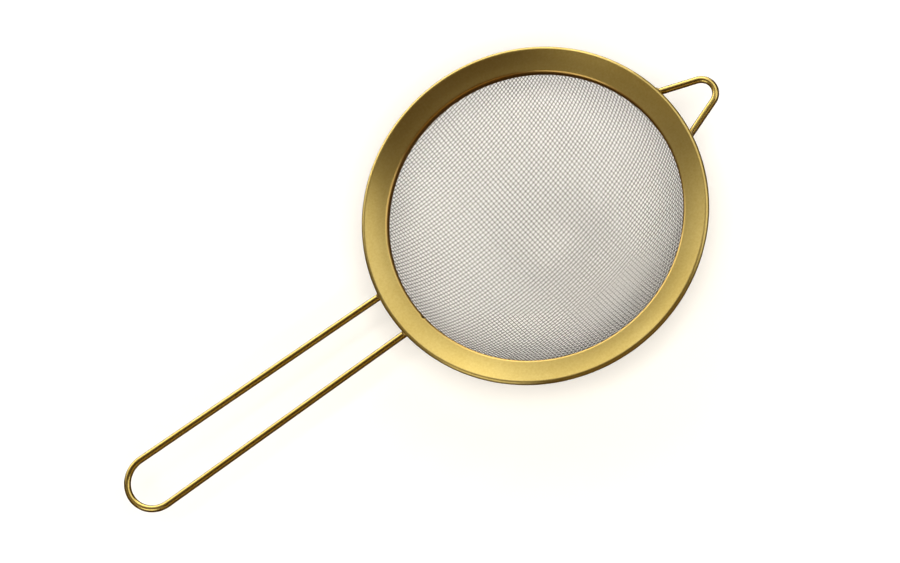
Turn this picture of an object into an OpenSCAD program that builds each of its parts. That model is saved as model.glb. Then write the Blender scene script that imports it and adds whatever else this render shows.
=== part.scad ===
// Round fine-mesh strainer: a rolled sheet rim, a woven wire bowl clamped under it, and two bent
// wires welded beneath the rim, one as a long handle and one as a short rest hook.
// Origin at the centre of the mouth, level with the top of the rolled edge. The handle runs
// towards -X, the hook towards +X, and the bowl hangs down along -Z.

/* [Rim] */
// Outside diameter over the rolled edge
rim_d = 140; // [90:1:200]
// Width of the rim seen from above, from the rolled edge to the mouth
rim_w = 10.4; // [8:0.1:16]
// Thickness of the rim sheet
sheet_t = 0.5; // [0.4:0.05:0.7]
// Outside diameter of the rolled edge
roll_d = 2.4; // [2:0.1:3.4]
// How far the sheet curls round, counted from its outermost point down and back under
roll_under = 150; // [100:5:170]
// Drop from the top of the rolled edge to the shoulder above the mouth
rim_drop = 1.9; // [1.2:0.1:3]
// Radius of the shallow hollow between the rolled edge and the shoulder
hollow_r = 60; // [12:1:120]
// Radius of the shoulder that turns down into the mouth
shoulder_r = 1.3; // [0.9:0.1:2]
// Straight length of the turned-down wall below the shoulder
wall_h = 2.4; // [1.5:0.1:5]

/* [Bowl] */
// Diameter of one wire of the cloth
cloth_wire_d = 0.24; // [0.2:0.02:0.5]
// Depth of the bowl below the turned-down wall
bowl_depth = 38.6; // [20:0.2:50]

/* [Clamp ring] */
// Thickness of the ring that presses the cloth against the wall
clamp_t = 0.6; // [0.4:0.05:1]
// How much each clamped face is pressed into its neighbour
pinch = 0.02; // [0.01:0.01:0.05]

/* [Handle] */
// Diameter of the handle and hook wire
wire_d = 2.8; // [2:0.1:4]
// Length of the handle beyond the rim
handle_out = 127.4; // [60:0.2:200]
// Distance between the centres of the two handle wires where they meet the rim
handle_gap = 19; // [14:0.5:30]
// Angle by which each handle wire leans outward towards the far end
handle_splay = 0.7; // [0:0.1:2]
// How much a wire swells where it is bent
bend_swell = 0.02; // [0.02:0.01:0.1]

/* [Hook] */
// Length of the hook beyond the rim
hook_out = 19; // [14:0.2:40]
// Radius of the bend at the tip, to the centre of the wire
hook_bend_r = 6; // [4:0.1:9]
// Angle between each hook wire and the line from the mouth's centre to the tip
hook_flare = 20.4; // [10:0.2:30]
// Angle of the whole hook round the mouth, off the line of the handle
hook_turn = 1.3; // [-3:0.1:3]

/* [Welds] */
// Diameter of each weld between a wire and the rolled edge
weld_d = 2.4; // [1.6:0.1:3]
// How deep a wire sinks into the rolled edge at its weld
weld_sink = 0.12; // [0.05:0.01:0.2]
// Space between a wire's cut end and the clamp ring
end_gap = 0.5; // [0.2:0.1:1.5]

/* [Hidden] */
$fn = 96;
rim_r = rim_d / 2;
roll_r = roll_d / 2;
wire_r = wire_d / 2;
mouth_r = rim_r - rim_w;
// centres of the roll and of the shoulder in the rim's section
roll_c = [rim_r - roll_r, -roll_r];
shoulder_c = [mouth_r + shoulder_r, -rim_drop - shoulder_r];
wall_bottom = shoulder_c.y - wall_h;
// centre of the hollow, which touches the roll and the shoulder from above
span = roll_c - shoulder_c;
span_len = norm(span);
reach_a = hollow_r + shoulder_r;
reach_b = hollow_r + roll_r;
along = (reach_a * reach_a - reach_b * reach_b + span_len * span_len) / (2 * span_len);
above = sqrt(reach_a * reach_a - along * along);
span_dir = span / span_len;
hollow_c = shoulder_c + along * span_dir + above * [-span_dir.y, span_dir.x];
roll_touch = atan2(hollow_c.y - roll_c.y, hollow_c.x - roll_c.x);
shoulder_touch = atan2(hollow_c.y - shoulder_c.y, hollow_c.x - shoulder_c.x);
// the cloth stands between the wall and the clamp ring, then follows a ball-shaped cap
cloth_t = 2 * cloth_wire_d;
skirt_r = mouth_r + sheet_t - pinch;
clamp_r = skirt_r + cloth_t - pinch;
clamp_out_r = clamp_r + clamp_t;
ball_in_r = (skirt_r * skirt_r + bowl_depth * bowl_depth) / (2 * bowl_depth);
ball_z = wall_bottom - bowl_depth + ball_in_r;
ball_out_r = ball_in_r + cloth_t;
// both wires lie in one plane, against whichever of the rolled edge and the band reaches lower
wire_z = min(-roll_d, -rim_drop - sheet_t) - wire_r + weld_sink;
handle_reach = rim_r + handle_out;
hook_reach = rim_r + hook_out;
weld_r = weld_d / 2;
// a wire is cut square, so the corner of a slanting one reaches further in than its centre line
end_r = clamp_out_r + end_gap + wire_r / 2;
// how far a straight wire runs on inside the bend
bend_lap = 0.3;

// points along an arc, from angle a to angle b, with n steps
function arc(c, r, a, b, n) = [for (i = [0:n]) c + r * [cos(a + (b - a) * i / n), sin(a + (b - a) * i / n)]];

// one face of the rim sheet, from the curl's free edge to the bottom of the wall; inset is 0 for
// the face that shows and the sheet's thickness for the hidden face
function rim_face(inset) = concat(
    arc(roll_c, roll_r - inset, -roll_under, roll_touch, 32),
    arc(hollow_c, hollow_r + inset, roll_touch - 180, shoulder_touch - 180, 10),
    arc(shoulder_c, shoulder_r - inset, shoulder_touch, 180, 12),
    [[mouth_r + inset, wall_bottom]]
);

// a round wire of the given length along +X
module straight_wire(length) {
    rotate([0, 90, 0])
        cylinder(h = length, r = wire_r);
}

// a wire bent through an arc, centred on the origin, which starts at angle a and turns by sweep
module bent_wire(bend_r, a, sweep) {
    rotate([0, 0, a])
        rotate_extrude(angle = sweep, $fn = 96)
            translate([bend_r, 0])
                circle(r = wire_r + bend_swell, $fn = 32);
}

// a loop along +X: two wires that start near the axis line's foot, and the bend that joins them at
// the far end. Each wire leans by lean degrees, positive when the loop narrows towards the bend
module wire_loop(reach, bend_r, lean) {
    bend_x = reach - wire_r - bend_r;
    // where a wire's centre line meets the circle on which it is cut off
    foot_x = bend_x + bend_r * sin(lean);
    foot_y = bend_r * cos(lean);
    back = foot_y * sin(lean) - foot_x * cos(lean);
    length = -back - sqrt(back * back - foot_x * foot_x - foot_y * foot_y + end_r * end_r);
    translate([bend_x, 0, 0])
        bent_wire(bend_r, lean - 90, 180 - 2 * lean);
    for (side = [-1, 1])
        translate([foot_x, side * foot_y, 0])
            rotate([0, 0, side * (180 - lean)])
                translate([-bend_lap, 0, 0])
                    straight_wire(length + bend_lap);
}

// welds under the rolled edge, one for each wire of a loop of the same three sizes
module loop_welds(reach, bend_r, lean) {
    bend_x = reach - wire_r - bend_r;
    foot_x = bend_x + bend_r * sin(lean);
    foot_y = bend_r * cos(lean);
    back = foot_y * sin(lean) - foot_x * cos(lean);
    length = -back - sqrt(back * back - foot_x * foot_x - foot_y * foot_y + roll_c.x * roll_c.x);
    for (side = [-1, 1])
        translate([foot_x - length * cos(lean), side * (foot_y + length * sin(lean)), wire_r])
            sphere(r = weld_r, $fn = 32);
}

// the handle widens towards its bend, so its lean is negative
handle_lean = -handle_splay;
handle_end_gap = handle_gap / 2 + handle_out * tan(handle_splay);
handle_bend_r = handle_end_gap / (cos(handle_splay) + tan(handle_splay));

// pressed sheet ring: rolled outer edge, shallow hollow, shoulder and turned-down wall
module rim_band() {
    color("goldenrod")
        rotate_extrude($fn = 180)
            polygon(concat(rim_face(0), [for (p = [len(rim_face(0)) - 1:-1:0]) rim_face(sheet_t)[p]]));
}

// plain hoop under the rim that traps the cloth
module clamp_ring() {
    color("darkgoldenrod")
        translate([0, 0, wall_bottom])
            difference() {
                cylinder(h = wall_h, r = clamp_out_r, $fn = 180);
                translate([0, 0, -1])
                    cylinder(h = wall_h + 2, r = clamp_r, $fn = 180);
            }
}

// woven cloth as one skin as thick as two crossing wires: a ball-shaped cap and an upright skirt
module mesh_bowl() {
    color("silver")
        union() {
            rotate_extrude($fn = 180)
                intersection() {
                    difference() {
                        translate([0, ball_z])
                            circle(r = ball_out_r, $fn = 180);
                        translate([0, ball_z])
                            circle(r = ball_in_r, $fn = 180);
                    }
                    translate([0, wall_bottom - bowl_depth - 2 * cloth_t])
                        square([ball_out_r, bowl_depth + 2 * cloth_t]);
                }
            translate([0, 0, wall_bottom])
                difference() {
                    cylinder(h = wall_h, r = skirt_r + cloth_t, $fn = 180);
                    translate([0, 0, -1])
                        cylinder(h = wall_h + 2, r = skirt_r, $fn = 180);
                }
        }
}

// long U of wire
module handle_loop() {
    color("goldenrod")
        translate([0, 0, wire_z])
            rotate([0, 0, 180])
                wire_loop(handle_reach, handle_bend_r, handle_lean);
}

// short V of wire with a round tip
module hook_loop() {
    color("goldenrod")
        translate([0, 0, wire_z])
            rotate([0, 0, hook_turn])
                wire_loop(hook_reach, hook_bend_r, hook_flare);
}

// one weld for each handle wire
module handle_welds() {
    color("darkgoldenrod")
        translate([0, 0, wire_z])
            rotate([0, 0, 180])
                loop_welds(handle_reach, handle_bend_r, handle_lean);
}

// one weld for each hook wire
module hook_welds() {
    color("darkgoldenrod")
        translate([0, 0, wire_z])
            rotate([0, 0, hook_turn])
                loop_welds(hook_reach, hook_bend_r, hook_flare);
}

rim_band();
clamp_ring();
mesh_bowl();
handle_loop();
hook_loop();
handle_welds();
hook_welds();
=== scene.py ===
# %% [markdown]
# # A round fine-mesh strainer
#
# The strainer is a kitchen and bar tool made of sheet and wire. A wide satin rim, pressed from
# gold-coloured sheet, holds a bowl of woven steel cloth. Two bent wires are welded under the rim:
# a long U that is the handle and a short V that rests on the lip of a jug. Nothing on it moves.
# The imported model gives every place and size; this file only adds the surfaces, the weave, the
# finishes, the light and the camera.

import math

import bmesh
import bpy
import numpy as np
from mathutils import Matrix, Vector, noise


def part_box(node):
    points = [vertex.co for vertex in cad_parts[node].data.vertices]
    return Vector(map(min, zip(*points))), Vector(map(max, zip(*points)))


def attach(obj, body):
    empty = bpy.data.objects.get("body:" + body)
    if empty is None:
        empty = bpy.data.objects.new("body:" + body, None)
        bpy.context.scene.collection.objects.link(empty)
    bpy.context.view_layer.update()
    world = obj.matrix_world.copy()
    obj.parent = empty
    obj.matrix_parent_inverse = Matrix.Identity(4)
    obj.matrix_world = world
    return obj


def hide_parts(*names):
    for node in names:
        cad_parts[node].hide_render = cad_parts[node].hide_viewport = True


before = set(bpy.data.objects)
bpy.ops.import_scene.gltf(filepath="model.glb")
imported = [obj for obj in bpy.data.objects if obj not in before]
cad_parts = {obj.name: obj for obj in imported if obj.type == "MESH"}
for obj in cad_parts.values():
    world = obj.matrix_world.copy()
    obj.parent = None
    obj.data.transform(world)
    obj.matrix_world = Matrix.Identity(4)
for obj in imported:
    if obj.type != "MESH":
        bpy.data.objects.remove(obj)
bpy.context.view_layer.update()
print("nodes in the frame:", sorted(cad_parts))

# %% [markdown]
# ## Sizes
#
# The frame gives the outer sizes: the rim's radius, the level of the hem where the cloth leaves
# the rim, the depth of the bowl and the place of the wires. The sheet's own section is drawn
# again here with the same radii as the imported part, because a fine smooth section is what makes
# a metal rim look right.

# %% Sizes read from the frame
MM = 0.001
rim_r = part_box("rim_band")[1].y
hem_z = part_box("rim_band")[0].z
bowl_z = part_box("mesh_bowl")[0].z
clamp_out_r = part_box("clamp_ring")[1].y
handle_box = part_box("handle_loop")
wire_z = (handle_box[0].z + handle_box[1].z) / 2
print(f"rim radius {rim_r / MM:.2f} mm, hem at {hem_z / MM:.2f} mm, bowl bottom at {bowl_z / MM:.2f} mm")

# %% Sizes of the sheet, the wires and the cloth
rim_w = 10.4 * MM
sheet_t = 0.5 * MM
roll_r = 1.2 * MM
roll_under = math.radians(150)
rim_drop = 1.9 * MM
hollow_r = 60 * MM
shoulder_r = 1.3 * MM
clamp_t = 0.6 * MM
wire_r = 1.4 * MM
cloth_wire_r = 0.12 * MM
mouth_r = rim_r - rim_w
cloth_t = 4 * cloth_wire_r

# %% [markdown]
# ## Small makers of nodes
#
# Every finish and every Geometry Nodes tree below is wired by script. A few helpers keep that
# short: one adds a node and sets its plain values, one joins two sockets, and three more make the
# patterns that all the finishes share.

# %% Node helpers
def add_node(tree, kind, **values):
    """Adds a node of one kind; values name its properties or its input sockets."""
    node = tree.nodes.new(kind)
    for name, value in values.items():
        if hasattr(node, name):
            setattr(node, name, value)
        else:
            node.inputs[name.replace("_", " ")].default_value = value
    return node


def join(tree, source, target):
    """Links an output socket to an input socket."""
    tree.links.new(source, target)


# %% Pattern helpers
def noise_on(tree, place, scale, detail, roughness=0.5):
    """A noise pattern over the given coordinates; scale is in bumps to the metre."""
    pattern = add_node(tree, "ShaderNodeTexNoise", Scale=scale, Detail=detail, Roughness=roughness)
    join(tree, place, pattern.inputs["Vector"])
    return pattern.outputs[0]


def stretch(tree, value, low, high, to_low=0.0, to_high=1.0, smooth=False):
    """Maps low..high to to_low..to_high, and holds the ends."""
    kind = "SMOOTHSTEP" if smooth else "LINEAR"
    ranged = add_node(tree, "ShaderNodeMapRange", interpolation_type=kind)
    ranged.inputs["From Min"].default_value = low
    ranged.inputs["From Max"].default_value = high
    ranged.inputs["To Min"].default_value = to_low
    ranged.inputs["To Max"].default_value = to_high
    join(tree, value, ranged.inputs["Value"])
    return ranged.outputs["Result"]


def blend(tree, kind, share, first, second):
    """Mixes two colours (kind RGBA) or two numbers (kind FLOAT); share 0 gives the first."""
    mix = add_node(tree, "ShaderNodeMix", data_type=kind)
    slot_a, slot_b, result = (6, 7, 2) if kind == "RGBA" else (2, 3, 0)
    for slot, value in ((0, share), (slot_a, first), (slot_b, second)):
        if isinstance(value, bpy.types.NodeSocket):
            join(tree, value, mix.inputs[slot])
        else:
            mix.inputs[slot].default_value = value
    return mix.outputs[result]


# %% [markdown]
# ## Satin gold sheet
#
# The rim is stainless sheet with a gold-coloured coating, polished on a lathe and then left
# satin. Three things make such a surface believable: very fine rings left by the polishing
# pad, a slow drift in tone where the coating is a little thicker or thinner, and a fine grain
# that breaks up the gloss. The tight fold at the mouth gets a painted reflection: a darker
# brown is mixed into its colour, which dims its highlight. The rings depend only on
# the distance from the axis, so the shader works that distance out from the object's own
# coordinates. An image would blur at close range, so every pattern here is procedural. The rings
# also stretch the gloss: it spreads across them and stays tight along them.

# %% Patterns of the gold finishes
RINGS_SCALE = 9000.0
MOTTLE_SCALE = 1100.0
# Painted reflection in the tight fold at the mouth: a darker brown mixed in near the fold.
FOLD_REFLECTION_START = 0.15 * MM
FOLD_REFLECTION_END = 1.1 * MM
FOLD_REFLECTION_BROWN = (0.70, 0.42, 0.12, 1)


def axis_coordinates(tree, place):
    """The distance from the Z axis, as a number, and (distance, height) as coordinates."""
    split = add_node(tree, "ShaderNodeSeparateXYZ")
    join(tree, place, split.inputs[0])
    flat = add_node(tree, "ShaderNodeCombineXYZ")
    join(tree, split.outputs["X"], flat.inputs["X"])
    join(tree, split.outputs["Y"], flat.inputs["Y"])
    from_axis = add_node(tree, "ShaderNodeVectorMath", operation="LENGTH")
    join(tree, flat.outputs[0], from_axis.inputs[0])
    ring_place = add_node(tree, "ShaderNodeCombineXYZ")
    join(tree, from_axis.outputs["Value"], ring_place.inputs["X"])
    join(tree, split.outputs["Z"], ring_place.inputs["Y"])
    return from_axis.outputs["Value"], ring_place.outputs[0]


def brush(tree, shader, strength):
    """Stretches the gloss across the rings, by the UV map that runs round the axis."""
    shader.inputs["Anisotropic"].default_value = strength
    shader.inputs["Anisotropic Rotation"].default_value = 0.25
    around = add_node(tree, "ShaderNodeTangent", direction_type="UV_MAP", uv_map="round")
    join(tree, around.outputs[0], shader.inputs["Tangent"])


# %% A gold finish
def gold_finish(
    name, tint, deep_tint, gloss, drift_scale, grain_scale, rings=0.0, brushed=0.0, reflection_fold_r=None
):
    """Coated metal, with tone between two tints and roughness between the two values of gloss.

    drift_scale and grain_scale size the slow drift and the grain. rings is the share of polishing
    rings in the grain, brushed is how far they stretch the gloss, and the last argument is the radius
    of the tight fold, where a painted reflection, a darker brown, is mixed into the colour.
    """
    material = bpy.data.materials.new(name)
    material.use_nodes = True
    tree = material.node_tree
    shader = tree.nodes["Principled BSDF"]
    shader.inputs["Metallic"].default_value = 1.0
    place = add_node(tree, "ShaderNodeTexCoord").outputs["Object"]
    from_axis, ring_place = axis_coordinates(tree, place)

    drift = noise_on(tree, place, drift_scale, 3.0)
    mottle = noise_on(tree, place, MOTTLE_SCALE, 2.0, 0.6)
    tone = stretch(tree, blend(tree, "FLOAT", 0.5, drift, mottle), 0.38, 0.62)
    colour = blend(tree, "RGBA", tone, (*deep_tint, 1), (*tint, 1))
    # Painted reflection: the fold is coloured a darker brown, which dims its highlight.
    if reflection_fold_r:
        fold_reflection = stretch(tree, from_axis, reflection_fold_r + FOLD_REFLECTION_START, reflection_fold_r + FOLD_REFLECTION_END, smooth=True)
        colour = blend(tree, "RGBA", fold_reflection, FOLD_REFLECTION_BROWN, colour)
    join(tree, colour, shader.inputs["Base Color"])

    grain = noise_on(tree, place, grain_scale, 4.0, 0.6)
    ring_lines = noise_on(tree, ring_place, RINGS_SCALE, 3.0, 0.7)
    relief = blend(tree, "FLOAT", rings, grain, ring_lines)
    join(tree, stretch(tree, relief, 0.3, 0.7, *gloss), shader.inputs["Roughness"])
    bump = add_node(tree, "ShaderNodeBump", Strength=0.08, Distance=0.02 * MM)
    join(tree, relief, bump.inputs["Height"])
    join(tree, bump.outputs[0], shader.inputs["Normal"])
    if brushed:
        brush(tree, shader, brushed)
    return material


# %% The three gold finishes
sheet_finish = gold_finish(
    "satin_gold_sheet",
    tint=(0.83, 0.645, 0.215),
    deep_tint=(0.75, 0.555, 0.155),
    gloss=(0.28, 0.35),
    drift_scale=28,
    grain_scale=5200,
    rings=0.6,
    brushed=0.75,
    reflection_fold_r=mouth_r,
)
wire_finish = gold_finish(
    "drawn_gold_wire",
    tint=(0.80, 0.61, 0.19),
    deep_tint=(0.72, 0.53, 0.14),
    gloss=(0.20, 0.30),
    drift_scale=60,
    grain_scale=6500,
)
weld_finish = gold_finish(
    "gold_over_weld",
    tint=(0.66, 0.47, 0.19),
    deep_tint=(0.46, 0.32, 0.13),
    gloss=(0.30, 0.50),
    drift_scale=900,
    grain_scale=5000,
)
print("gold finishes:", sheet_finish.name, wire_finish.name, weld_finish.name)

# %% [markdown]
# A spot weld has left one small pit at the inner edge of the rim, in line with one leg
# of the handle. The pit itself is cut into the mesh later. The colour round it is darkened,
# by the distance from the pit's centre.

# %% Darkened spot in a finish
# A dark colour mixed in round the weld pit, darkest at its middle.
PIT_DARK = (0.05, 0.035, 0.02, 1)
pit_turn = math.radians(188.3)
pit_r = mouth_r + 0.35 * MM
pit_z = -rim_drop - 0.55 * MM
pit_size = 0.6 * MM


def darken_round_pit(material, centre, size):
    """Darkens a finish round one point, given in metres."""
    tree = material.node_tree
    shader = tree.nodes["Principled BSDF"]
    clean = shader.inputs["Base Color"].links[0].from_socket
    away = add_node(tree, "ShaderNodeVectorMath", operation="DISTANCE")
    away.inputs[1].default_value = centre
    join(tree, add_node(tree, "ShaderNodeTexCoord").outputs["Object"], away.inputs[0])
    fade = stretch(tree, away.outputs["Value"], size * 0.5, size * 1.3, smooth=True)
    join(tree, blend(tree, "RGBA", fade, PIT_DARK, clean), shader.inputs["Base Color"])


darken_round_pit(sheet_finish, (pit_r * math.cos(pit_turn), pit_r * math.sin(pit_turn), pit_z), pit_size)
print(f"weld pit {pit_r / MM:.2f} mm from the axis")

# %% [markdown]
# ## Steel wire for the cloth
#
# The cloth is bare stainless wire, a quarter of a millimetre thick. At that size nobody sees a
# scratch, but neighbouring bits of wire do differ a little in brightness and gloss. Noise on the
# object's own coordinates gives both. Both tones are set far darker than steel, as painted
# shade for the dark room that the wire reflects.

# %% Steel wire finish
# Painted shade: both steel colours sit far below bare steel, standing for the dark room it reflects.
SHADE_DARKENED_STEEL = (0.085, 0.082, 0.077, 1)
SHADE_DARKENED_PALE_STEEL = (0.18, 0.174, 0.163, 1)


def steel_finish(name):
    """Bare drawn stainless wire, its colour darkened as painted shade."""
    material = bpy.data.materials.new(name)
    material.use_nodes = True
    tree = material.node_tree
    shader = tree.nodes["Principled BSDF"]
    shader.inputs["Metallic"].default_value = 1.0
    place = add_node(tree, "ShaderNodeTexCoord").outputs["Object"]
    patch = noise_on(tree, place, 700.0, 2.0)
    join(tree, blend(tree, "RGBA", patch, SHADE_DARKENED_STEEL, SHADE_DARKENED_PALE_STEEL), shader.inputs["Base Color"])
    join(tree, stretch(tree, patch, 0.3, 0.7, 0.28, 0.42), shader.inputs["Roughness"])
    return material


cloth_finish = steel_finish("shade_darkened_steel_wire")
print("steel finish:", cloth_finish.name)

# %% [markdown]
# ## A wire from a path
#
# All the wires, thick and thin, are the same idea: a round section carried along a path. A
# Geometry Nodes tree does it once for all of them. It takes a chain of points, makes a curve
# of it, carries a circle along the curve, closes the ends, smooths the shading and
# sets the finish. Its named inputs are the wire's radius and the number of sides.

# %% Geometry Nodes tree for wire
def make_wire_tree():
    """Chains of points in, round closed wires out."""
    tree = bpy.data.node_groups.new("wire_along_path", "GeometryNodeTree")
    face = tree.interface
    face.new_socket("Paths", in_out="INPUT", socket_type="NodeSocketGeometry")
    face.new_socket("Wire Radius", in_out="INPUT", socket_type="NodeSocketFloat")
    face.new_socket("Sides", in_out="INPUT", socket_type="NodeSocketInt")
    face.new_socket("Finish", in_out="INPUT", socket_type="NodeSocketMaterial")
    face.new_socket("Wires", in_out="OUTPUT", socket_type="NodeSocketGeometry")
    given = tree.nodes.new("NodeGroupInput")
    result = tree.nodes.new("NodeGroupOutput")
    to_curve = tree.nodes.new("GeometryNodeMeshToCurve")
    circle = tree.nodes.new("GeometryNodeCurvePrimitiveCircle")
    sweep = add_node(tree, "GeometryNodeCurveToMesh", Fill_Caps=True)
    smooth = tree.nodes.new("GeometryNodeSetShadeSmooth")
    realize = tree.nodes.new("GeometryNodeRealizeInstances")
    finish = tree.nodes.new("GeometryNodeSetMaterial")
    join(tree, given.outputs["Paths"], to_curve.inputs["Mesh"])
    join(tree, given.outputs["Sides"], circle.inputs["Resolution"])
    join(tree, given.outputs["Wire Radius"], circle.inputs["Radius"])
    join(tree, to_curve.outputs["Curve"], sweep.inputs["Curve"])
    join(tree, circle.outputs["Curve"], sweep.inputs["Profile Curve"])
    join(tree, sweep.outputs["Mesh"], smooth.inputs[0])
    join(tree, smooth.outputs[0], realize.inputs[0])
    join(tree, realize.outputs[0], finish.inputs["Geometry"])
    join(tree, given.outputs["Finish"], finish.inputs["Material"])
    join(tree, finish.outputs["Geometry"], result.inputs["Wires"])
    return tree


wire_tree = make_wire_tree()


def wires_from_paths(name, paths, radius, sides, finish):
    """One mesh object of closed wires. paths is a list of point lists, in metres."""
    points = []
    chains = []
    for path in paths:
        chains += [(len(points) + i, len(points) + i + 1) for i in range(len(path) - 1)]
        points += [tuple(p) for p in path]
    mesh = bpy.data.meshes.new(name)
    mesh.from_pydata(points, chains, [])
    maker = bpy.data.objects.new(name + "_maker", mesh)
    bpy.context.scene.collection.objects.link(maker)
    modifier = maker.modifiers.new("wire", "NODES")
    modifier.node_group = wire_tree
    values = {"Wire Radius": radius, "Sides": sides, "Finish": finish}
    for item in wire_tree.interface.items_tree:
        if item.in_out == "INPUT" and item.name in values:
            modifier[item.identifier] = values[item.name]
    evaluated = maker.evaluated_get(bpy.context.evaluated_depsgraph_get())
    plain = bpy.data.meshes.new_from_object(evaluated)
    bpy.data.objects.remove(maker)
    plain.name = name
    obj = bpy.data.objects.new(name, plain)
    bpy.context.scene.collection.objects.link(obj)
    plain.calc_loop_triangles()
    print(f"{name}: {len(paths)} wires, {len(plain.loop_triangles)} triangles")
    return obj


# %% [markdown]
# ## The rim band
#
# On the real strainer the rim is one ring of sheet. A press gives it a shallow hollow, turns
# its inner edge down into a short wall, and a roller curls its outer edge under. The section is
# a chain of arcs, each one touching the next, and the band is that section swept
# once round the axis. Sweeping it here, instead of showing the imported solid, allows a much
# finer section, so that highlights run smoothly over the roll. A pressed ring is
# never quite even, so the hollow also gets a slow wave of a few hundredths of a millimetre.

# %% Section of the rim
def arc(centre, radius, start, end, steps):
    """Points along an arc in the (distance from axis, height) plane."""
    angles = np.linspace(start, end, steps + 1)
    return [(centre[0] + radius * math.cos(a), centre[1] + radius * math.sin(a)) for a in angles]


ROLL_STEPS = 40
HOLLOW_STEPS = 24
SHOULDER_STEPS = 14
roll_c = np.array([rim_r - roll_r, -roll_r])
shoulder_c = np.array([mouth_r + shoulder_r, -rim_drop - shoulder_r])
span = roll_c - shoulder_c
span_len = float(np.linalg.norm(span))
span_dir = span / span_len
reach_a = hollow_r + shoulder_r
reach_b = hollow_r + roll_r
along = (reach_a**2 - reach_b**2 + span_len**2) / (2 * span_len)
above = math.sqrt(reach_a**2 - along**2)
hollow_c = shoulder_c + along * span_dir + above * np.array([-span_dir[1], span_dir[0]])
roll_touch = math.atan2(hollow_c[1] - roll_c[1], hollow_c[0] - roll_c[0])
shoulder_touch = math.atan2(hollow_c[1] - shoulder_c[1], hollow_c[0] - shoulder_c[0])


def rim_face(inset):
    """One face of the sheet; inset is 0 for the face that shows."""
    roll = arc(roll_c, roll_r - inset, -roll_under, roll_touch, ROLL_STEPS)
    hollow_ends = (roll_touch - math.pi, shoulder_touch - math.pi)
    hollow = arc(hollow_c, hollow_r + inset, *hollow_ends, HOLLOW_STEPS)
    shoulder = arc(shoulder_c, shoulder_r - inset, shoulder_touch, math.pi, SHOULDER_STEPS)
    return roll + hollow[1:] + shoulder[1:] + [(mouth_r + inset, hem_z)]


section = rim_face(0) + rim_face(sheet_t)[::-1]
print(f"rim section: {len(section)} points")
print(f"the hollow touches the roll at {math.degrees(roll_touch):.1f} degrees")


# %% Sweep a section round the axis
CRISP_ANGLE = math.radians(50)


def unwrap_round(mesh, rings):
    """UV map: U runs round the axis, V along the section."""
    uv = mesh.loops.layers.uv.new("round")
    place = {}
    for s, ring in enumerate(rings):
        for k, v in enumerate(ring):
            place[v] = (s, k)
    turns, count = len(rings), len(rings[0])
    for face in mesh.faces:
        spots = [place[loop.vert] for loop in face.loops]
        wraps_s = any(s == 0 for s, _ in spots) and any(s == turns - 1 for s, _ in spots)
        wraps_k = any(k == 0 for _, k in spots) and any(k == count - 1 for _, k in spots)
        for loop, (s, k) in zip(face.loops, spots):
            u = turns if wraps_s and s == 0 else s
            v = count if wraps_k and k == 0 else k
            loop[uv].uv = (u / turns, v / count)


def sweep_round(name, outline, segments, shift=None):
    """A closed ring from a closed outline of (distance, height) points, counted anticlockwise."""
    mesh = bmesh.new()
    rings = []
    for s in range(segments):
        turn = 2 * math.pi * s / segments
        ring = []
        for r, z in outline:
            dr, dz = shift(turn, r, z) if shift else (0, 0)
            spot = ((r + dr) * math.cos(turn), (r + dr) * math.sin(turn), z + dz)
            ring.append(mesh.verts.new(spot))
        rings.append(ring)
    count = len(outline)
    for s in range(segments):
        here, there = rings[s], rings[(s + 1) % segments]
        for k in range(count):
            n = (k + 1) % count
            mesh.faces.new((here[k], here[n], there[n], there[k]))
    bmesh.ops.recalc_face_normals(mesh, faces=mesh.faces)
    unwrap_round(mesh, rings)
    data = bpy.data.meshes.new(name)
    mesh.to_mesh(data)
    mesh.free()
    data.shade_smooth()
    obj = bpy.data.objects.new(name, data)
    bpy.context.scene.collection.objects.link(obj)
    print(f"{name}: {len(data.polygons)} faces")
    return obj


def sharpen(obj):
    """Keeps smooth shading, with a crisp line at the cut edges."""
    obj.data.set_sharp_from_angle(angle=CRISP_ANGLE)


# %% The band, with its slow wave and its one small pit
RIM_SEGMENTS = 540
WAVE_HEIGHT = 0.035 * MM
WAVE_FADE = 3 * MM
WAVE_ROUND = 1.7
WAVE_ACROSS = 60
PIT_DEPTH = 0.5 * MM
PIT_REACH = 3
PIT_SINK = 0.6


def faded(distance):
    """0 at an edge of the hollow, rising to 1 a few millimetres away from it."""
    return min(max(distance / WAVE_FADE, 0), 1)


def rim_shift(turn, r, z):
    """Pressing wave over the hollow, and the weld pit in the shoulder."""
    inward = faded(rim_r - 2 * roll_r - r) * faded(r - mouth_r)
    wave_place = (WAVE_ROUND * math.cos(turn), WAVE_ROUND * math.sin(turn), r * WAVE_ACROSS)
    wave = noise.noise(Vector(wave_place))
    around = (turn - pit_turn) * mouth_r
    away = math.hypot(around, math.hypot(r - pit_r, z - pit_z)) / pit_size
    dent = PIT_DEPTH * math.exp(-away * away) if away < PIT_REACH else 0
    return dent, wave * WAVE_HEIGHT * inward - dent * PIT_SINK


band = sweep_round("rim_band_sheet", section, RIM_SEGMENTS, rim_shift)
sharpen(band)
band.data.materials.append(sheet_finish)
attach(band, "root")
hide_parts("rim_band")

# %% [markdown]
# ## The clamp ring
#
# Under the rim a plain hoop presses the edge of the cloth against the turned-down wall. Its
# edges are broken, not sharp, so its section gets small rounded corners.

# %% The hoop
HOOP_SEGMENTS = 360
CORNER_STEPS = 5
clamp_top = shoulder_c[1]
clamp_in_r = clamp_out_r - clamp_t
edge_r = 0.2 * MM


def rounded_box(r0, z0, r1, z1, radius, steps):
    """Outline of a box with round corners."""
    corners = (
        (r1 - radius, z0 + radius, -90),
        (r1 - radius, z1 - radius, 0),
        (r0 + radius, z1 - radius, 90),
        (r0 + radius, z0 + radius, 180),
    )
    points = []
    for r, z, start in corners:
        points += arc((r, z), radius, math.radians(start), math.radians(start + 90), steps)
    return points


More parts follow.
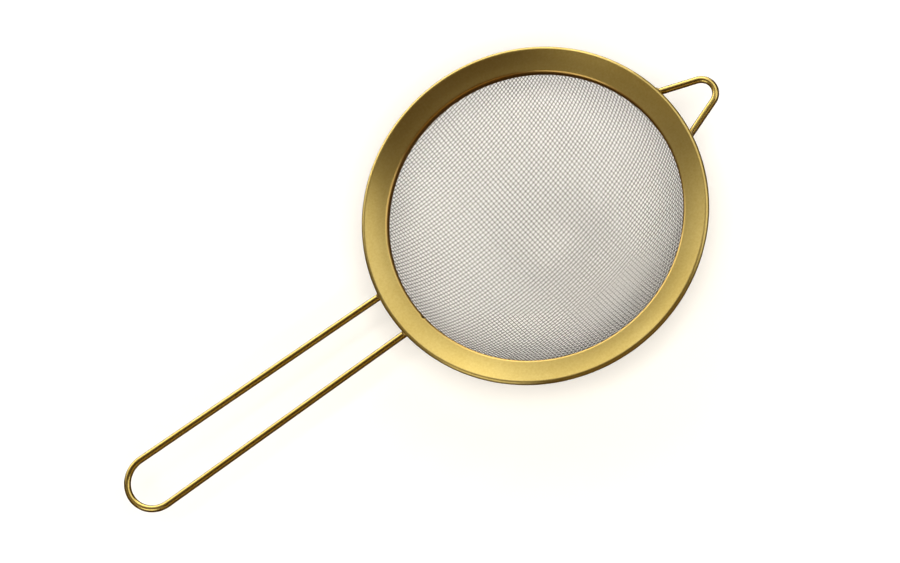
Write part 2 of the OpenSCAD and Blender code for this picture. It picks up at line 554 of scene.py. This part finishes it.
hoop_outline = rounded_box(clamp_in_r, hem_z, clamp_out_r, clamp_top, edge_r, CORNER_STEPS)
hoop = sweep_round("clamp_ring_hoop", hoop_outline, HOOP_SEGMENTS)
hoop.data.materials.append(sheet_finish)
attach(hoop, "root")
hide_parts("clamp_ring")

# %% [markdown]
# ## How woven cloth covers a bowl
#
# Wire cloth is drawn into a bowl without stretching its wires. Only the angle between the two
# sets of wires can change, so each little square becomes a rhombus. The four corners of a
# rhombus on a ball have a simple rule: turn the near corner by half a turn about the middle of
# the two side corners, and it lands on the far corner. Starting from two straight wires that
# cross at the bottom of the bowl, that rule gives every crossing of the cloth, row by row.

# %% The ball that the cloth follows
cap_h = hem_z - bowl_z - cloth_t
ball_in_r = ((mouth_r + sheet_t) ** 2 + cap_h**2) / (2 * cap_h)
ball_r = ball_in_r + cloth_t / 2
ball_c = Vector((0, 0, bowl_z + cloth_t / 2 + ball_r))
hem_angle = math.acos((ball_c.z - hem_z) / ball_r)
hem_r = ball_r * math.sin(hem_angle)
skirt_up = 2.1 * MM
print(f"ball radius {ball_r / MM:.2f} mm, hem radius {hem_r / MM:.2f} mm")
print(f"the hem lies {math.degrees(hem_angle):.1f} degrees up the ball")

# %% Crossings of the cloth
long_pitch = 1.64 * MM
cross_pitch = 1.46 * MM
long_turn = math.radians(11.4)
cross_turn = math.radians(97.9)
cover = hem_angle + skirt_up / ball_r
SPARE = 0.12
SPARE_ROWS = 3


def on_ball(away, turn):
    """A unit vector from the ball's centre; away is its angle from the bottom."""
    return Vector((math.sin(away) * math.cos(turn), math.sin(away) * math.sin(turn), -math.cos(away)))


def first_wire(turn, pitch, count):
    """Crossings along a wire through the bottom of the ball."""
    step = 2 * math.asin(pitch / (2 * ball_r))
    return [on_ball(i * step, turn) for i in range(count)]


def quarter_of_cloth(turn_i, pitch_i, turn_j, pitch_j, count):
    """Crossings of one quarter, found by half turns; None where the cloth has been cut off."""
    grid = {(i, 0): p for i, p in enumerate(first_wire(turn_i, pitch_i, count))}
    grid.update({(0, j): p for j, p in enumerate(first_wire(turn_j, pitch_j, count))})
    for i in range(1, count):
        for j in range(1, count):
            near = grid.get((i - 1, j - 1))
            side_a = grid.get((i - 1, j))
            side_b = grid.get((i, j - 1))
            if near is None or side_a is None or side_b is None:
                continue
            middle = (side_a + side_b).normalized()
            grid[i, j] = 2 * near.dot(middle) * middle - near
            if -grid[i, j].z < math.cos(cover + SPARE):
                grid[i, j] = None
    return {key: p for key, p in grid.items() if p is not None}


def whole_cloth():
    """All crossings, keyed by (long row, cross row)."""
    crossings = {}
    count = int(cover * ball_r / min(long_pitch, cross_pitch)) + SPARE_ROWS
    for side_i in (1, -1):
        for side_j in (1, -1):
            turn_i = long_turn + (0 if side_i > 0 else math.pi)
            turn_j = cross_turn + (0 if side_j > 0 else math.pi)
            part = quarter_of_cloth(turn_i, long_pitch, turn_j, cross_pitch, count)
            crossings.update({(side_i * i, side_j * j): p for (i, j), p in part.items()})
    return crossings


crossings = whole_cloth()
print(f"crossings laid out: {len(crossings)}")


# %% From a direction on the ball to a point of the cloth
def on_cloth(direction, lift):
    """A point of the cloth, lifted off its middle; above the hem it stands up as a skirt."""
    angle = math.acos(max(-1, min(1, -direction.z)))
    if angle <= hem_angle:
        return ball_c + direction * (ball_r + lift)
    flat = Vector((direction.x, direction.y, 0)).normalized()
    return flat * (hem_r + lift) + Vector((0, 0, hem_z + (angle - hem_angle) * ball_r))


def woven_path(row, lift_sign, steps):
    """One wire over and under its crossings. row is a list of ((i, j), direction) in order."""
    path = []
    for (key_a, a), (_, b) in zip(row, row[1:]):
        sign = lift_sign if (key_a[0] + key_a[1]) % 2 == 0 else -lift_sign
        for s in range(steps):
            t = s / steps
            lift = sign * cloth_wire_r * math.cos(math.pi * t)
            path.append(on_cloth(a.lerp(b, t).normalized(), lift))
    key, last = row[-1]
    sign = lift_sign if (key[0] + key[1]) % 2 == 0 else -lift_sign
    path.append(on_cloth(last, sign * cloth_wire_r))
    return path


def rows_of(axis):
    """The wires of one set, each a run of crossings that ends inside the clamp."""
    rows = {}
    for key, p in crossings.items():
        if math.acos(-p.z) <= cover:
            rows.setdefault(key[1 - axis], []).append((key, p))
    for row in rows.values():
        row.sort(key=lambda item: item[0][axis])
    return {n: row for n, row in rows.items() if len(row) > 1}


# %% The woven bowl, in four pieces
POINTS_PER_PITCH = 4
CLOTH_SIDES = 6
for axis, label, lift_sign in ((0, "long", 1), (1, "cross", -1)):
    rows = rows_of(axis)
    halves = {"a": [n for n in rows if n < 0], "b": [n for n in rows if n >= 0]}
    for half, chosen in halves.items():
        paths = [woven_path(rows[n], lift_sign, POINTS_PER_PITCH) for n in sorted(chosen)]
        name = f"bowl_cloth_{label}_{half}"
        piece = wires_from_paths(name, paths, cloth_wire_r, CLOTH_SIDES, cloth_finish)
        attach(piece, "root")
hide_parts("mesh_bowl")

# %% [markdown]
# ## Handle and hook
#
# Both are bent from the same drawn wire and welded under the rolled edge. A path of straight
# runs and one arc, carried through the wire tree, gives each in one smooth piece. The two cut
# ends lie under the rim, just short of the clamp ring.

# %% Path of a wire loop
handle_reach = -handle_box[0].x
hook_turn = math.radians(1.3)
hook_reach = 89 * MM
handle_gap = 19 * MM
handle_splay = math.radians(0.7)
hook_flare = math.radians(20.4)
hook_bend_r = 6 * MM
end_gap = 0.5 * MM
end_r = clamp_out_r + end_gap + wire_r / 2
handle_end_gap = handle_gap / 2 + (handle_reach - rim_r) * math.tan(handle_splay)
handle_bend_r = handle_end_gap / (math.cos(handle_splay) + math.tan(handle_splay))


def loop_path(reach, bend_r, lean, turn, steps, run_step):
    """Two straight runs joined by an arc, in the wires' plane.

    reach is the loop's far end and bend_r its bend, to the middle of the wire. lean is how much each
    run turns inwards as it leaves the rim, and turn aims the whole loop.
    """
    bend_x = reach - wire_r - bend_r
    foot = Vector((bend_x + bend_r * math.sin(lean), bend_r * math.cos(lean), 0))
    run = Vector((-math.cos(lean), math.sin(lean), 0))
    back = foot.dot(run)
    length = -back - math.sqrt(back * back - foot.length_squared + end_r * end_r)
    count = max(2, int(length / run_step))
    straight = [foot + run * length * (1 - i / count) for i in range(count)]
    half_turn = math.pi / 2 - lean
    bend = [
        Vector((bend_x + bend_r * math.cos(a), bend_r * math.sin(a), 0))
        for a in np.linspace(half_turn, -half_turn, steps + 1)
    ]
    mirrored = [Vector((p.x, -p.y, 0)) for p in reversed(straight)]
    aim = Matrix.Rotation(turn, 3, "Z")
    return [aim @ p + Vector((0, 0, wire_z)) for p in straight + bend + mirrored]


# %% The two wires
WIRE_SIDES = 40
HANDLE_BEND_STEPS = 64
HOOK_BEND_STEPS = 48
handle_path = loop_path(handle_reach, handle_bend_r, -handle_splay, math.pi, HANDLE_BEND_STEPS, 4 * MM)
hook_path = loop_path(hook_reach, hook_bend_r, hook_flare, hook_turn, HOOK_BEND_STEPS, 2 * MM)


def wire_piece(name, path, node):
    """One bent wire, standing for one node."""
    piece = wires_from_paths(name, [path], wire_r, WIRE_SIDES, wire_finish)
    sharpen(piece)
    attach(piece, "root")
    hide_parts(node)


wire_piece("handle_wire", handle_path, "handle_loop")
wire_piece("hook_wire", hook_path, "hook_loop")

# %% [markdown]
# ## Welds
#
# Each wire is welded where it crosses under the rolled edge. A weld is a small frozen pool of
# metal that creeps up both sides of the wire. A subdivided ball, flattened and stretched along
# the wire, then pushed about a little by noise, has that look.

# %% Weld beads
weld_half = Vector((1.9, 1.75, 0.95)) * MM
weld_lift = wire_r - 0.1 * MM
LUMP_HEIGHT = 0.10
LUMP_SCALE = 1.6
LUMP_SHIFT = 900
BEAD_DETAIL = 4


def weld_bead(centre, direction):
    """One bead, its long axis along the wire."""
    bead = bmesh.new()
    bmesh.ops.create_icosphere(bead, subdivisions=BEAD_DETAIL, radius=1)
    side = Vector((-direction.y, direction.x, 0))
    for v in bead.verts:
        lump = 1 + LUMP_HEIGHT * noise.noise(v.co * LUMP_SCALE + centre * LUMP_SHIFT)
        local = v.co * lump
        v.co = centre + direction * local.x * weld_half.x + side * local.y * weld_half.y
        v.co.z += local.z * weld_half.z
    return bead


def weld_place(path):
    """Where a wire crosses under the middle of the roll, and which way it runs there."""
    near = min(range(len(path) // 2), key=lambda k: abs(math.hypot(path[k].x, path[k].y) - roll_c[0]))
    direction = (path[near + 1] - path[near]).normalized()
    slide = roll_c[0] - math.hypot(path[near].x, path[near].y)
    centre = path[near] + direction * slide
    centre.z = wire_z + weld_lift
    return centre, direction


def weld_piece(name, path, node):
    """The two beads of one wire loop, as one piece."""
    total = bmesh.new()
    for end in (path, path[::-1]):
        bead = weld_bead(*weld_place(end))
        part = bpy.data.meshes.new("bead")
        bead.to_mesh(part)
        total.from_mesh(part)
        bpy.data.meshes.remove(part)
        bead.free()
    data = bpy.data.meshes.new(name)
    total.to_mesh(data)
    total.free()
    data.shade_smooth()
    data.materials.append(weld_finish)
    obj = bpy.data.objects.new(name, data)
    bpy.context.scene.collection.objects.link(obj)
    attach(obj, "root")
    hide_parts(node)


weld_piece("handle_weld_beads", handle_path, "handle_welds")
weld_piece("hook_weld_beads", hook_path, "hook_welds")
print("welds made")

# %% [markdown]
# ## Floor and light
#
# A pale floor lies just under the bowl. Polished metal shows its surroundings, so the lights are
# wide soft panels, and their edges draw the broad bands of tone round the rim. One panel on the
# right lights the near side of the rim, a row at the back lights the rolled edge, and two small
# ones in front catch the flanks. A last panel stands almost over the camera and only whitens the
# floor: the metal doesn't show it.

# %% Floor
FLOOR_HALF = 1.6


def make_floor():
    """A pale plane as wide as the ring of lights, level with the bottom of the bowl."""
    mesh = bpy.data.meshes.new("floor")
    ends = ((-1, -1), (1, -1), (1, 1), (-1, 1))
    corners = [(x * FLOOR_HALF, y * FLOOR_HALF, bowl_z) for x, y in ends]
    mesh.from_pydata(corners, [], [(0, 1, 2, 3)])
    floor = bpy.data.objects.new("floor", mesh)
    bpy.context.scene.collection.objects.link(floor)
    material = bpy.data.materials.new("pale_floor")
    material.use_nodes = True
    shader = material.node_tree.nodes["Principled BSDF"]
    shader.inputs["Base Color"].default_value = (0.94, 0.93, 0.91, 1)
    shader.inputs["Roughness"].default_value = 0.9
    shader.inputs["Emission Color"].default_value = (1, 1, 1, 1)
    shader.inputs["Emission Strength"].default_value = 0.10
    mesh.materials.append(material)
    floor.visible_glossy = False


make_floor()


# %% Lights
WHITE = (1, 1, 1)
WARM = (1.0, 0.90, 0.66)
AMBER = (1.0, 0.74, 0.38)
CREAM = (1.0, 0.955, 0.85)
ROOM_AMBER = (1.0, 0.52, 0.12, 1)
PALE_WALL = (0.93, 0.92, 0.90, 1)


def soft_panel(name, towards, distance, width, height, glow, colour):
    """A wide area light aimed at the strainer. glow is its brightness as seen from the strainer."""
    data = bpy.data.lights.new(name, "AREA")
    data.shape = "RECTANGLE"
    data.size = width
    data.size_y = height
    data.energy = glow * math.pi * width * height
    data.color = colour
    light = bpy.data.objects.new(name, data)
    way = Vector(towards).normalized()
    light.location = way * distance
    light.rotation_mode = "QUATERNION"
    light.rotation_quaternion = way.to_track_quat("Z", "Y")
    bpy.context.scene.collection.objects.link(light)
    return light


soft_panel("panel_right", (0.56, 0.32, 0.76), 1.5, 1.4, 1.15, 1.08, WHITE)
soft_panel("panel_back", (-0.02, 0.66, 0.75), 1.5, 1.7, 0.60, 0.64, WHITE)
soft_panel("panel_mid_back", (0.00, 0.90, 0.42), 1.5, 2.4, 0.50, 2.0, WHITE)
soft_panel("panel_low_back", (0.20, 0.97, 0.12), 1.7, 3.0, 0.45, 4.0, WHITE)
soft_panel("panel_left", (-0.66, 0.10, 0.75), 1.5, 1.0, 1.0, 0.25, WARM)
soft_panel("panel_front", (0.05, -0.88, 0.46), 1.7, 2.2, 0.5, 0.55, AMBER)
soft_panel("panel_left_front", (-0.76, -0.34, 0.56), 1.5, 0.8, 0.8, 1.5, WHITE)
soft_panel("panel_right_front", (0.76, -0.36, 0.54), 1.5, 0.8, 0.7, 1.5, WHITE)
floor_light = soft_panel("panel_floor", (0.0, -0.34, 0.94), 1.6, 0.8, 0.8, 10.2, CREAM)
floor_light.visible_glossy = False


def dim_room(strength):
    """A weak warm light from all round; the camera itself sees a pale wall."""
    world = bpy.data.worlds.new("dim_room")
    world.use_nodes = True
    tree = world.node_tree
    room = tree.nodes["Background"]
    room.inputs["Color"].default_value = ROOM_AMBER
    room.inputs["Strength"].default_value = strength
    wall = add_node(tree, "ShaderNodeBackground", Strength=1.0)
    wall.inputs["Color"].default_value = PALE_WALL
    seen = tree.nodes.new("ShaderNodeLightPath")
    either = tree.nodes.new("ShaderNodeMixShader")
    join(tree, seen.outputs["Is Camera Ray"], either.inputs[0])
    join(tree, room.outputs[0], either.inputs[1])
    join(tree, wall.outputs[0], either.inputs[2])
    join(tree, either.outputs[0], tree.nodes["World Output"].inputs["Surface"])
    bpy.context.scene.world = world


dim_room(0.055)
print("lights:", len(bpy.data.lights))

# %% [markdown]
# ## Camera
#
# The camera looks down on the mouth from a little in front, with a long lens, and is rolled so
# that the handle points to the lower left. It aims beside the rim's centre, so that the whole
# handle stays in view.

# %% Camera
camera_distance = 1.2695
camera_elevation = math.radians(70.13)
camera_azimuth = math.radians(-2.85)
camera_roll = math.radians(32.32)
camera_lens = 128.1
aim_beside = 32.92 * MM
aim_below = 27.29 * MM


def place_camera():
    """Stands over the rim's centre, in front, and looks at a point beside and below it."""
    data = bpy.data.cameras.new("camera")
    camera = bpy.data.objects.new("camera", data)
    bpy.context.scene.collection.objects.link(camera)
    back = Vector((
        math.sin(camera_azimuth) * math.cos(camera_elevation),
        -math.cos(camera_azimuth) * math.cos(camera_elevation),
        math.sin(camera_elevation),
    ))
    level = (-back).to_track_quat("-Z", "Y").to_matrix()
    rolled = level @ Matrix.Rotation(-camera_roll, 3, "Z")
    aim = (-back * camera_distance - rolled.col[0] * aim_beside - rolled.col[1] * aim_below).normalized()
    side = aim.cross(rolled.col[1]).normalized()
    turn = Matrix((side, side.cross(aim), -aim)).transposed()
    camera.location = back * camera_distance
    camera.rotation_mode = "QUATERNION"
    camera.rotation_quaternion = turn.to_quaternion()
    data.sensor_width = 36
    data.lens = camera_lens
    data.clip_start = 0.01
    data.clip_end = 20
    bpy.context.scene.camera = camera
    print(f"camera {camera_distance} m away, lens {data.lens:.1f} mm")


place_camera()
bpy.context.scene.view_settings.view_transform = "Standard"
